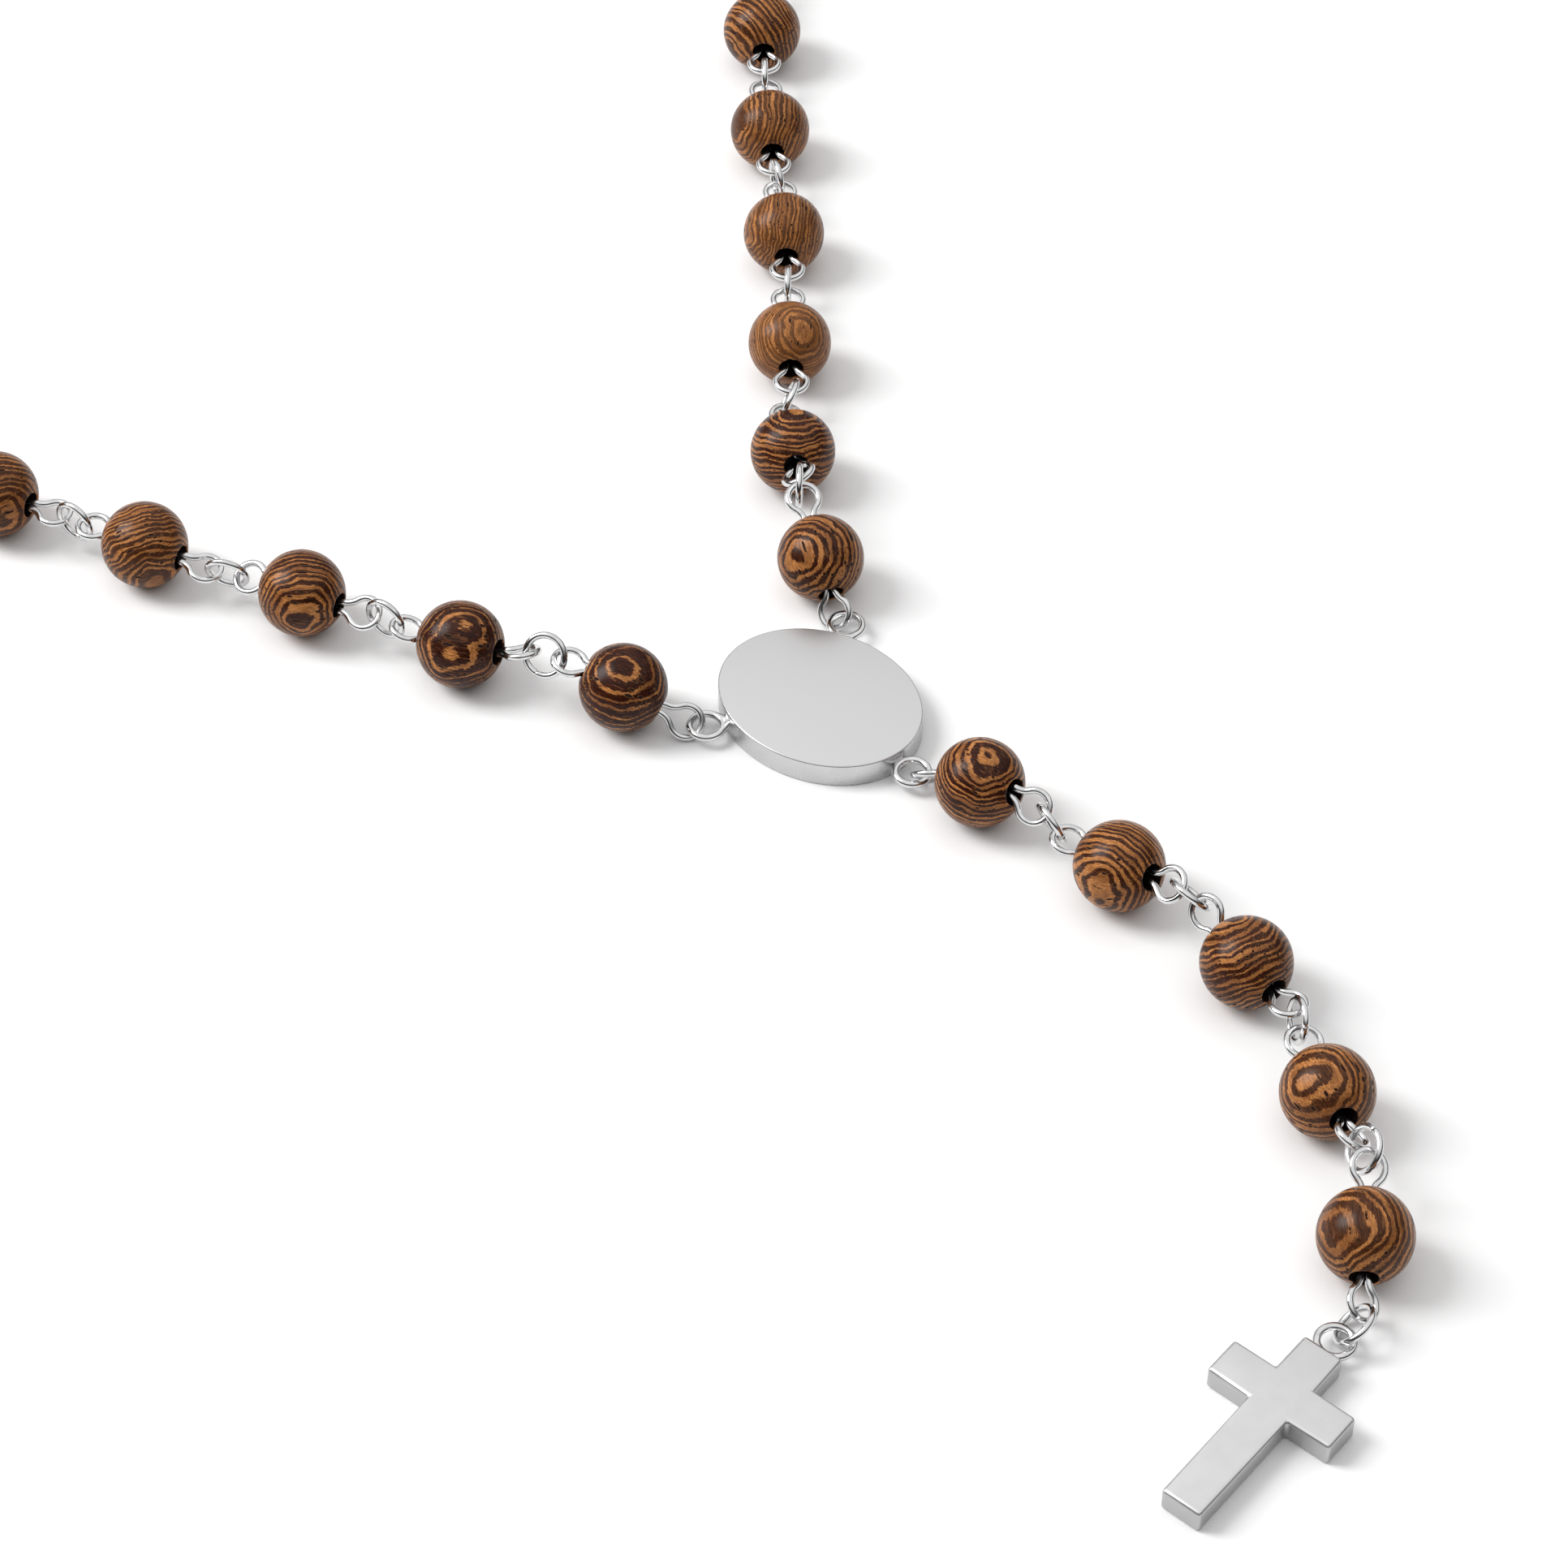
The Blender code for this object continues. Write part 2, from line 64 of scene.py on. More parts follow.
# Sizes of the pieces drawn here
WIRE_R = 0.315 * MM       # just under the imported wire, so that the rounder eyes stay clear
NECK = 0.45 * MM          # from the middle of an eye's neck to the middle of each of its two wires
FILLET = 1.7 * MM         # the bend between an eye's neck and its bow
SHANK_IN = 1.2 * MM       # how far inside the hole a shank starts
TAIL_IN = 0.3 * MM        # how far inside the hole the cut end of the wire reaches
RIM = 0.16 * MM           # the eased rim of a drilled hole
MEDAL_EDGE = 0.14 * MM
LOOP_POINT_IN = 0.3 * MM  # how far inside its plate a soldered loop comes to its point
SOLDER_IN = 0.05 * MM     # how far inside its plate the lump of solder has its middle
SOLDER_R = (0.5 * MM, 0.5 * MM, 0.34 * MM)
MELT = 0.055 * MM         # the grid that runs wire and solder together

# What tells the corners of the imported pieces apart
BOW_FROM = 1.75 * MM      # a pin's corners farther than this from its mouth are in the eye's bow
TAIL_WITHIN = 0.85 * MM   # those nearer than this are in its neck, by the wire's cut end
POLE = 2.4 * MM           # a strand's corners this far above or below its beads' middles are on a bead
SAME_BEAD = 7.8 * MM      # two such corners of one bead are nearer than this, seen from above
CROSS_SKIN = 0.6 * MM     # corners this near the cross's two faces are not its loop's
CROSS_STEP = 1.0 * MM     # wider than the cross's rounded edges and narrower than its arms reach out

# How a bead differs from a true ball: pairs of how broad and how high the unevenness is
SWELL = (2.2 * MM, 0.014 * MM)
SANDING = (0.5 * MM, 0.003 * MM)
LIP_CHIPS = (0.22 * MM, 0.035 * MM)

# How fine the drawn shapes are
WIRE_SIDES = 16
EYE_STEPS = 32
FILLET_STEPS = 7
RING_STEPS = 56
LUG_STEPS = 60
BEAD_SEGMENTS = 72
BEAD_ROWS = 44
BORE_ROWS = 10
MEDAL_SEGMENTS = 180

# How the layers of the wood lie in each bead that shows: azimuth and elevation of the line across
# the layers, its place among them in mm, how fine and how pale they are, and how much is dark.
LAYERS = {
    "left_bead_1": (-130, 75, 0.26, 0.80, 0.00, 0.50),
    "left_bead_2": (-135, 45, 0.70, 0.85, 0.00, 0.45),
    "left_bead_3": (-130, 10, 0.12, 1.10, 0.05, 0.00),
    "left_bead_4": (-115, -25, 0.30, 1.15, 0.20, 0.10),
    "left_bead_5": (-115, 0, 0.05, 1.00, 0.20, 0.10),
    "right_bead_1": (180, 40, 0.12, 0.95, 0.05, -0.10),
    "right_bead_2": (45, 65, 0.20, 1.15, 0.00, 0.10),
    "right_bead_3": (-105, 55, 0.00, 1.50, 0.85, 0.00),
    "right_bead_4": (135, 15, 0.25, 1.45, 0.60, 0.00),
    "right_bead_5": (140, 25, 0.10, 1.20, 0.40, 0.00),
    "right_bead_6": (170, -10, 0.40, 1.00, 0.20, 0.10),
    "drop_bead_1": (-80, 80, 0.45, 1.10, 0.00, 0.00),
    "drop_bead_2": (-170, 0, 0.42, 1.05, 0.10, -0.10),
    "drop_bead_3": (80, 45, 0.20, 1.05, 0.05, 0.10),
    "drop_bead_4": (170, 55, 0.40, 0.85, 0.25, -0.10),
    "drop_bead_5": (155, 45, 0.40, 0.80, 0.25, 0.00),
}

# Colours of the wood. A pair runs from the dull fibres to the bright ones.
TAN = (0.27, 0.092, 0.022), (0.62, 0.265, 0.084)
RED_TAN = (0.135, 0.044, 0.013)
BROWN = (0.009, 0.0018, 0.0009), (0.064, 0.0130, 0.0042)
BROWN_STREAK = (0.150, 0.052, 0.020)
SOFT_BROWN = (0.105, 0.038, 0.013), (0.24, 0.102, 0.036)
FLECK = (0.030, 0.009, 0.003)
PORE = (0.014, 0.004, 0.0025)
# The painted highlight on the pores' edges.
PORE_EDGE_HIGHLIGHT = (0.33, 0.140, 0.048)
# Painted shade inside the drilled holes, from near-black to dark brown.
HOLE_SHADE = (0.004, 0.002, 0.0015), (0.022, 0.009, 0.005)

# Satin steels: the grey of their darkest and palest clouds, and how rough each is. The walls' greys are
# darker than the faces' as painted shade.
SHADED_MEDAL_WALL = (0.55, 0.58, 0.26, 0.28)
CROSS_FACE = (0.66, 0.69, 0.34, 0.37)
# The cross's walls and rounded edges are a darker copy of its face's steel: painted shade.
SHADED_CROSS_WALL = (0.47, 0.50, 0.36, 0.40)

# The camera of the photo, and a white dome with one tall softbox
AIM = Vector((-8.24 * MM, -3.65 * MM, 0.0))
CAMERA_AZIMUTH = -45.0
CAMERA_ELEVATION = 47.2
CAMERA_DISTANCE = 387.1 * MM
CAMERA_LENS = 100.0
CAMERA_SENSOR = 36.0
DOME_TILT = 0.2
DOME = ((0.27, 0.02), (0.50, 0.38), (0.70, 1.0))      # height in the dome, and how bright it is there
KEY_AZIMUTH = -146
KEY_ELEVATION = 42
KEY_DISTANCE = 1.3
KEY_SIZE = (0.52, 0.90)
KEY_POWER = 14.5
FLOOR_HALF = 3.0
FLOOR_WHITE = 0.93

JOINTS = {j["child"]: j for j in frame["joints"]}


def add_object(name, data):
    ob = bpy.data.objects.new(name, data)
    bpy.context.scene.collection.objects.link(ob)
    return ob


# ---------------------------------------------------------------- camera, light and floor

def towards(azimuth, elevation):
    """From the object to a place round it: azimuth 0 is at -Y, and 90 at +X."""
    a, e = math.radians(azimuth), math.radians(elevation)
    return Vector((math.sin(a) * math.cos(e), -math.cos(a) * math.cos(e), math.sin(e)))


def look_in(ob, way, distance):
    """Puts a camera or a light that way and that far from the aim, and turns it back to it."""
    ob.location = AIM + way * distance
    ob.rotation_euler = (-way).to_track_quat("-Z", "Y").to_euler()


def add_camera():
    data = bpy.data.cameras.new("camera")
    data.sensor_width = CAMERA_SENSOR
    data.lens = CAMERA_LENS
    data.clip_start = 0.01
    data.clip_end = 10.0
    ob = add_object("camera", data)
    look_in(ob, towards(CAMERA_AZIMUTH, CAMERA_ELEVATION), CAMERA_DISTANCE)
    bpy.context.scene.camera = ob


def add_key():
    data = bpy.data.lights.new("key", "AREA")
    data.shape = "RECTANGLE"
    data.size, data.size_y = KEY_SIZE
    data.energy = KEY_POWER
    look_in(add_object("key", data), towards(KEY_AZIMUTH, KEY_ELEVATION), KEY_DISTANCE)


def add_world():
    """A white dome over a dark room. It reaches lower behind the rosary than on the camera's side."""
    world = bpy.data.worlds.new("dome")
    bpy.context.scene.world = world
    world.use_nodes = True
    tree = world.node_tree
    place = tree.nodes.new("ShaderNodeTexCoord")
    height = tree.nodes.new("ShaderNodeVectorMath")
    height.operation = "DOT_PRODUCT"
    height.inputs[1].default_value = UP - towards(CAMERA_AZIMUTH, 0) * DOME_TILT
    ramp = tree.nodes.new("ShaderNodeValToRGB")
    ramp.color_ramp.elements.new(0.5)
    for stop, (position, tone) in zip(ramp.color_ramp.elements, DOME):
        stop.position = position
        stop.color = (tone, tone, tone, 1)
    tree.links.new(place.outputs["Generated"], height.inputs[0])
    tree.links.new(height.outputs["Value"], ramp.inputs[0])
    tree.links.new(ramp.outputs[0], tree.nodes["Background"].inputs["Color"])


def add_floor():
    bm = bmesh.new()
    bmesh.ops.create_grid(bm, x_segments=1, y_segments=1, size=FLOOR_HALF)
    mesh = bpy.data.meshes.new("floor")
    bm.to_mesh(mesh)
    bm.free()
    material = bpy.data.materials.new("floor")
    material.use_nodes = True
    shader = material.node_tree.nodes["Principled BSDF"]
    shader.inputs["Base Color"].default_value = (FLOOR_WHITE, FLOOR_WHITE, FLOOR_WHITE, 1)
    shader.inputs["Roughness"].default_value = 0.9
    shader.inputs["Specular IOR Level"].default_value = 0.1
    mesh.materials.append(material)
    ob = add_object("floor", mesh)
    ob.location = AIM


# ---------------------------------------------------------------- materials

class Nodes:
    """A short way to write a material's nodes: each call adds one node and returns its output."""

    def __init__(self, name):
        self.material = bpy.data.materials.new(name)
        self.material.use_nodes = True
        self.tree = self.material.node_tree
        self.shader = self.tree.nodes["Principled BSDF"]

    def plug(self, socket, value):
        if isinstance(value, bpy.types.NodeSocket):
            self.tree.links.new(value, socket)
        elif value is not None:
            socket.default_value = value

    def attribute(self, name):
        n = self.tree.nodes.new("ShaderNodeAttribute")
        n.attribute_name = name
        return n.outputs["Vector"]

    def place(self):
        return self.tree.nodes.new("ShaderNodeTexCoord").outputs["Object"]

    def math(self, operation, a, b=None):
        n = self.tree.nodes.new("ShaderNodeMath")
        n.operation = operation
        for socket, value in zip(n.inputs, (a, b)):
            self.plug(socket, value)
        return n.outputs[0]

    def add(self, a, b):
        return self.math("ADD", a, b)

    def times(self, a, b):
        return self.math("MULTIPLY", a, b)

    def scaled(self, vector, scale):
        n = self.tree.nodes.new("ShaderNodeVectorMath")
        n.operation = "MULTIPLY"
        self.plug(n.inputs[0], vector)
        n.inputs[1].default_value = scale
        return n.outputs[0]

    def split(self, vector):
        n = self.tree.nodes.new("ShaderNodeSeparateXYZ")
        self.plug(n.inputs[0], vector)
        return n.outputs[:3]

    def combine(self, x, y, z):
        n = self.tree.nodes.new("ShaderNodeCombineXYZ")
        for socket, value in zip(n.inputs, (x, y, z)):
            self.plug(socket, value)
        return n.outputs[0]

    def noise(self, vector, scale, detail=2.0, rough=0.5):
        n = self.tree.nodes.new("ShaderNodeTexNoise")
        self.plug(n.inputs["Vector"], vector)
        n.inputs["Scale"].default_value = scale
        n.inputs["Detail"].default_value = detail
        n.inputs["Roughness"].default_value = rough
        return n.outputs["Fac"]

    def centred(self, value, size):
        """Noise from 0 to 1, made into a push either way."""
        return self.times(self.math("SUBTRACT", value, 0.5), size)

    def cells(self, vector, scale):
        n = self.tree.nodes.new("ShaderNodeTexVoronoi")
        self.plug(n.inputs["Vector"], vector)
        n.inputs["Scale"].default_value = scale
        return n.outputs["Distance"], n.outputs["Color"]

    def step(self, value, low, high, out_low=0.0, out_high=1.0):
        n = self.tree.nodes.new("ShaderNodeMapRange")
        n.interpolation_type = "SMOOTHSTEP"
        self.plug(n.inputs["Value"], value)
        n.inputs["From Min"].default_value = low
        n.inputs["From Max"].default_value = high
        n.inputs["To Min"].default_value = out_low
        n.inputs["To Max"].default_value = out_high
        return n.outputs["Result"]

    def mix(self, share, a, b):
        n = self.tree.nodes.new("ShaderNodeMix")
        n.data_type = "RGBA"
        self.plug(n.inputs[0], share)
        for socket, value in zip((n.inputs[6], n.inputs[7]), (a, b)):
            self.plug(socket, (*value, 1.0) if isinstance(value, tuple) else value)
        return n.outputs[2]

    def bump(self, height, distance):
        n = self.tree.nodes.new("ShaderNodeBump")
        n.inputs["Strength"].default_value = 1.0
        n.inputs["Distance"].default_value = distance
        self.plug(n.inputs["Height"], height)
        return n.outputs[0]

    def finish(self, colour, roughness, metallic, normal):
        self.plug(self.shader.inputs["Base Color"], colour)
        self.plug(self.shader.inputs["Roughness"], roughness)
        self.shader.inputs["Metallic"].default_value = metallic
        self.plug(self.shader.inputs["Normal"], normal)
        return self.material


def wood_layers(n, grain, z):
    """The place across the layers, which swell, wander and tear."""
    broad = n.centred(n.noise(grain, 0.28, 1.0), 1.6)
    wander = n.centred(n.noise(n.scaled(grain, (0.6, 1.0, 1.0)), 0.8, 2.0), 0.42)
    ragged = n.centred(n.noise(n.scaled(grain, (0.6, 2.0, 3.5)), 1.6, 3.0, 0.65), 0.16)
    return n.add(n.add(z, broad), n.add(wander, ragged))


def dark_share(n, grain, across, share):
    """1 in the dark layers and 0 in the tan ones."""
    spread = n.centred(n.noise(n.combine(0.0, 0.0, across), 0.8, 1.0), 11.0)
    wave = n.math("SINE", n.add(n.times(across, 11.0), spread))
    patch = n.centred(n.noise(n.scaled(grain, (0.5, 1.0, 1.6)), 0.6, 2.0), 2.6)
    torn = n.centred(n.noise(n.scaled(grain, (1.3, 7.0, 7.0)), 1.3, 3.0, 0.7), 3.0)
    return n.step(n.add(n.add(wave, share), n.add(patch, torn)), -0.34, 0.10)


def layer_colour(n, grain, across, dark, pale):
    """Tan and brown layers, each streaked along its fibres."""
    x, y, _ = n.split(grain)
    fibre = n.noise(n.combine(n.times(x, 0.5), n.times(y, 5.0), n.times(across, 7.0)), 1.5, 3.0, 0.65)
    layer = n.noise(n.combine(n.times(x, 0.06), n.times(y, 0.25), across), 1.7, 2.0)
    streak = n.noise(n.scaled(grain, (0.45, 5.5, 5.5)), 1.2, 1.0, 0.5)
    tan = n.mix(n.step(fibre, 0.28, 0.70), *TAN)
    tan = n.mix(n.step(layer, 0.42, 0.62, 0.0, 0.60), tan, RED_TAN)
    brown = n.mix(n.step(fibre, 0.34, 0.72), *BROWN)
    brown = n.mix(n.step(streak, 0.60, 0.70, 0.0, 0.75), brown, BROWN_STREAK)
    brown = n.mix(pale, brown, n.mix(n.step(fibre, 0.30, 0.70), *SOFT_BROWN))
    return n.mix(dark, tan, brown)


def wood_pores(n, grain):
    """Short open pores along the fibres, and the rims round them, where a paler colour paints the highlight
    on their edges.
    """
    x, y, z = n.split(grain)
    jitter = n.centred(n.noise(grain, 7.0, 2.0), 0.22)
    place = n.combine(n.add(n.times(x, 0.24), jitter), n.add(n.times(y, 1.6), jitter), n.times(z, 1.6))
    distance, pick = n.cells(place, 1.25)
    chosen = n.step(n.split(pick)[0], 0.45, 0.47)
    return n.times(n.step(distance, 0.25, 0.19), chosen), n.times(n.step(distance, 0.40, 0.24), chosen)


def wood_material():
    """Layers of dark and tan wood across z of the attribute 'grain', fibres along its x, in mm.

    The attribute 'tone' holds how pale a bead is and how much of it is dark.
    """
    n = Nodes("striped_hardwood")
    grain = n.attribute("grain")
    pale, share, _ = n.split(n.attribute("tone"))
    across = wood_layers(n, grain, n.split(grain)[2])
    dark = dark_share(n, grain, across, share)
    fine = n.noise(n.scaled(grain, (2.2, 9.0, 9.0)), 1.5, 2.0, 0.7)
    pore, rim = wood_pores(n, grain)
    colour = layer_colour(n, grain, across, dark, pale)
    colour = n.mix(n.step(fine, 0.43, 0.72, 0.0, 0.58), colour, FLECK)
    # A painted highlight round each pore.
    colour = n.mix(n.times(rim, 0.30), colour, PORE_EDGE_HIGHLIGHT)
    colour = n.mix(pore, colour, PORE)
    height = n.add(n.add(n.times(pore, -1.0), n.times(fine, 0.07)), n.times(dark, 0.04))
    rough = n.add(n.step(fine, 0.2, 0.8, 0.24, 0.36), n.times(pore, 0.4))
    n.shader.inputs["Specular IOR Level"].default_value = 0.16
    return n.finish(colour, rough, 0.0, n.bump(height, 0.09 * MM))


def bore_material():
    """The inside of the drilled holes, painted near-black as shade."""
    n = Nodes("painted_hole_shade")
    torn = n.noise(n.scaled(n.attribute("grain"), (1.0, 3.0, 3.0)), 2.0, 3.0, 0.7)
    colour = n.mix(n.step(torn, 0.35, 0.8), *HOLE_SHADE)
    n.shader.inputs["Specular IOR Level"].default_value = 0.1
    return n.finish(colour, n.step(torn, 0.2, 0.8, 0.75, 0.95), 0.0, n.bump(torn, 0.06 * MM))


def wire_material():
    """Polished stainless wire with faint drawing marks and cloudiness."""
    n = Nodes("polished_wire")
    place = n.scaled(n.place(), (PER_MM, PER_MM, PER_MM))
    cloud = n.noise(place, 1.3, 3.0)
    marks = n.noise(place, 9.0, 3.0, 0.7)
    colour = n.mix(n.step(cloud, 0.3, 0.7), (0.64, 0.64, 0.645), (0.74, 0.74, 0.745))
    rough = n.add(n.step(cloud, 0.3, 0.7, 0.14, 0.19), n.step(marks, 0.55, 0.8, 0.0, 0.07))
    return n.finish(colour, rough, 1.0, n.bump(marks, 0.0012 * MM))


def brushed_material(direction):
    """A ground face: fine straight lines along a direction, and broad faint bands of them."""
    n = Nodes("brushed_face")
    along = Vector(direction).normalized()
    across = UP.cross(along)
    x, y, _ = n.split(n.place())
    run, over = (n.add(n.times(x, way.x * PER_MM), n.times(y, way.y * PER_MM)) for way in (along, across))
    lines = n.noise(n.combine(n.times(run, 0.35), n.times(over, 22.0), 0.0), 1.0, 3.0, 0.6)
    bands = n.noise(n.combine(n.times(run, 0.08), n.times(over, 2.2), 3.0), 1.0, 2.0)
    grey = n.add(n.add(n.centred(lines, 0.10), n.centred(bands, 0.03)), 0.5)
    colour = n.mix(grey, (0.58, 0.58, 0.583), (0.76, 0.76, 0.763))
    return n.finish(colour, n.step(lines, 0.2, 0.8, 0.28, 0.34), 1.0, n.bump(lines, 0.002 * MM))


def satin_material(name, low, high, rough_low, rough_high):
    """Softly polished steel: cloudy, and very slightly uneven."""
    n = Nodes(name)
    place = n.scaled(n.place(), (PER_MM, PER_MM, PER_MM))
    cloud = n.noise(place, 0.55, 3.0)
    peel = n.noise(place, 5.0, 3.0, 0.6)
    colour = n.mix(n.step(cloud, 0.3, 0.7), (low, low, low * 1.01), (high, high, high * 1.01))
    rough = n.add(n.step(cloud, 0.3, 0.7, rough_low, rough_high), n.centred(peel, 0.03))
    return n.finish(colour, rough, 1.0, n.bump(peel, 0.0006 * MM))


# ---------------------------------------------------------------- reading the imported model

def corners(node):
    """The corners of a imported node, each once, in an array."""
    co = np.array([v.co for v in frame["nodes"][node].data.vertices])
    return np.unique(np.round(co, 7), axis=0)


def thinnest(points):
    """The direction in which points spread least."""
    spread = points - points.mean(0)
    return Vector(np.linalg.eigh(spread.T @ spread)[1][:, 0]).normalized()


def joint_point(body):
    return Vector(JOINTS[body]["pos_m"])


def level(v):
    return Vector((v.x, v.y, 0.0)).normalized()


class Eye:
    """A bent eye of a pin: the shank's end, the directions along and across it, and its length."""

    def __init__(self, foot, shank, along, side, length):
        self.foot, self.shank, self.along, self.side, self.length = foot, shank, along, side, length

    @property
    def tip(self):
        return self.foot + self.along * self.length


def circle_middle(points, normal):
    """The middle of the circle that fits points on one plane best."""
    across = normal.orthogonal().normalized()
    other = normal.cross(across)
    origin = points.mean(0)
    flat = np.stack([(points - origin) @ np.array(across), (points - origin) @ np.array(other)], 1)
    system = np.column_stack([flat * 2, np.ones(len(flat))])
    u, v, _ = np.linalg.lstsq(system, (flat ** 2).sum(1), rcond=None)[0]
    return Vector(origin) + across * u + other * v


def packed_eye(points, centre, shank):
    """The eye beyond one mouth of a bead's hole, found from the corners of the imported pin."""
    foot = centre + shank * MOUTH
    rel = points - np.array(foot)
    far = np.linalg.norm(rel, axis=1)
    bow = points[(rel @ np.array(shank) > 0) & (far > BOW_FROM)]
    normal = thinnest(bow)
    middle = circle_middle(bow, normal)
    along = (middle - foot).normalized()
    side = normal.cross(along).normalized()
    tail = rel[far < TAIL_WITHIN]
    if len(tail) and (tail @ np.array(side)).mean() < 0:
        side = -side
    return Eye(foot, shank, along, side, (middle - foot).length + EYE_R)


def strand_names(arm):
    """The strands of an arm, from the medal outwards."""
    out = []
    while "%s_strand_%d" % (arm, len(out) + 1) in frame["nodes"]:
        out.append("%s_strand_%d" % (arm, len(out) + 1))
    return out


def strand_centres(node):
    """The middles of a strand's beads, in order from its joint."""
    points = corners(node)
    groups = []
    for p in points[abs(points[:, 2] - BEAD_R) > POLE]:
        for g in groups:
            if np.hypot(*(g[0] - p)[:2]) < SAME_BEAD:
                g.append(p)
                break
        else:
            groups.append([p])
    centres = [Vector(np.mean(g, axis=0)) for g in groups]
    ordered = []
    at = joint_point(node)
    while centres:
        at = min(centres, key=lambda c: (c - at).length)
        centres.remove(at)
        ordered.append(at)
    return ordered


# ---------------------------------------------------------------- wire shapes

def arc(centre, along, side, radius, start, end, count):
    out = []
    for k in range(count + 1):
        w = math.radians(start + (end - start) * k / count)
        out.append(centre + along * radius * math.cos(w) + side * radius * math.sin(w))
    return out


def eased_ends(points, radius):
    """A path with cut ends, and its radii: each end is rounded off a little past the last point."""
    ease = ((0.0, 0.72), (0.05, 0.90), (0.14, 0.98))      # place along the end and its size, in radii
    past = 0.2
    first = (points[1] - points[0]).normalized()
    last = (points[-1] - points[-2]).normalized()
    near = [points[0] + first * radius * (s - past) for s, _ in ease]
    far = [points[-1] - last * radius * (s - past) for s, _ in reversed(ease)]
    grow = [radius * r for _, r in ease]
    return near + points[1:-1] + far, grow + [radius] * (len(points) - 2) + grow[::-1]


def bar(path, radius, closed=False):
    """Corners and faces of a round bar along a path."""
    points, radii = [Vector(p) for p in path], [radius] * len(path)
    if not closed:
        points, radii = eased_ends(points, radius)
    n = len(points)
    tangents = []
    for i in range(n):
        a = points[(i - 1) % n] if closed else points[max(i - 1, 0)]
        b = points[(i + 1) % n] if closed else points[min(i + 1, n - 1)]
        tangents.append((b - a).normalized())
    across = [tangents[0].orthogonal().normalized()]
    for i in range(1, n):
        turned = tangents[i - 1].rotation_difference(tangents[i]) @ across[-1]
        across.append((turned - tangents[i] * turned.dot(tangents[i])).normalized())
    verts = []
    for p, t, a, r in zip(points, tangents, across, radii):
        b = t.cross(a)
        for k in range(WIRE_SIDES):
            w = 2 * math.pi * k / WIRE_SIDES
            verts.append(p + (a * math.cos(w) + b * math.sin(w)) * r)
    faces = lofted(n, WIRE_SIDES, closed)
    if not closed:
        faces += end_faces(n, WIRE_SIDES)
    return verts, faces


def lofted(rows, count, closed):
    """Faces between rows of corners, with count corners a row. A closed loft joins the last to the first."""
    faces = []
    for i in range(rows if closed else rows - 1):
        one, two = i * count, (i + 1) % rows * count
        for k in range(count):
            j = (k + 1) % count
            faces.append((one + k, one + j, two + j, two + k))
    return faces


def end_faces(rows, count):
    """The two faces that close an open loft."""
    return [tuple(reversed(range(count))), tuple(range((rows - 1) * count, rows * count))]


def eye_path(eye):
    """From inside the hole round an eye to its cut end. Fillets join the neck's two sides to the bow."""
    middle = eye.foot + eye.along * (eye.length - EYE_R)
    out = NECK + FILLET
    run = math.sqrt((EYE_R + FILLET) ** 2 - out ** 2)
    turn = math.degrees(math.atan2(out, run))
    bow = arc(middle, eye.along, eye.side, EYE_R, turn - 180, 180 - turn, EYE_STEPS)
    lead, trail = (arc(middle - eye.along * run + s * out, eye.along, s, FILLET, -90, -turn, FILLET_STEPS)
                   for s in (-eye.side, eye.side))
    trail.reverse()
    start = eye.foot - eye.shank * SHANK_IN
    end = eye.foot - eye.along * TAIL_IN + eye.side * NECK
    return [start] + lead[:-1] + bow + trail[1:] + [end]


def pin_shape(near, far):
    return bar(list(reversed(eye_path(near))) + eye_path(far), WIRE_R)


def ring_shape(centre, along, side, cut):
    """A jump ring, closed to a hairline at its cut, which lies that many degrees round from along."""
    hairline = 1.2
    path = arc(centre, along, side, RING_R, cut + hairline, cut + 360 - hairline, RING_STEPS)
    return bar(path, WIRE_R)


def lump(centre, a, b, c):
    """A rounded lump that reaches a, b and c from its centre."""
    bm = bmesh.new()
    bmesh.ops.create_icosphere(bm, subdivisions=3, radius=1.0)
    verts = [centre + a * v.co.x + b * v.co.y + c * v.co.z for v in bm.verts]
    faces = [tuple(v.index for v in f.verts) for f in bm.faces]
    bm.free()
    return verts, faces


def merged(parts):
    """Several (corners, faces) as one."""
    verts, faces = [], []
    for v, f in parts:
        start = len(verts)
        verts += list(v)
        faces += [tuple(i + start for i in face) for face in f]
    return verts, faces


def new_piece(name, parts, material, body, stands_for=()):
    """A piece made of closed shapes, riding on a body."""
    verts, faces = merged(parts)
    mesh = bpy.data.meshes.new(name)
    mesh.from_pydata([tuple(v) for v in verts], [], faces)
    mesh.materials.append(material)
    mesh.shade_smooth()
    mesh.set_sharp_from_angle(angle=math.radians(50))
    ob = add_object(name, mesh)
    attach(ob, body)
    if stands_for:
        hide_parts(*stands_for)
    return ob


def soldered_loop(name, centre, out, wall, body):
    """A wire loop drawn to a point at its plate, where solder fills it. The wall is that far off."""
    side = UP.cross(out)
    tip = centre - out * (wall + LOOP_POINT_IN)
    turn = 180 - math.degrees(math.acos(LUG_R / (tip - centre).length))
    hoop = bar(arc(centre, out, side, LUG_R, 0, 360 - 360 / LUG_STEPS, LUG_STEPS - 1), LUG_WIRE, closed=True)
    legs = [bar([start, tip], LUG_WIRE) for start in arc(centre, out, side, LUG_R, -turn, turn, 1)]
    a, b, c = SOLDER_R
    solder = lump(centre - out * (wall + SOLDER_IN), out * a, side * b, UP * c)
    ob = new_piece(name, [hoop, *legs, solder], WIRE, body)
    melt = ob.modifiers.new("run together", "REMESH")
    melt.mode = "VOXEL"
    melt.voxel_size = MELT
    melt.use_smooth_shade = True
    soften = ob.modifiers.new("soften", "SMOOTH")
    soften.factor = 0.6
    soften.iterations = 22


# ---------------------------------------------------------------- beads

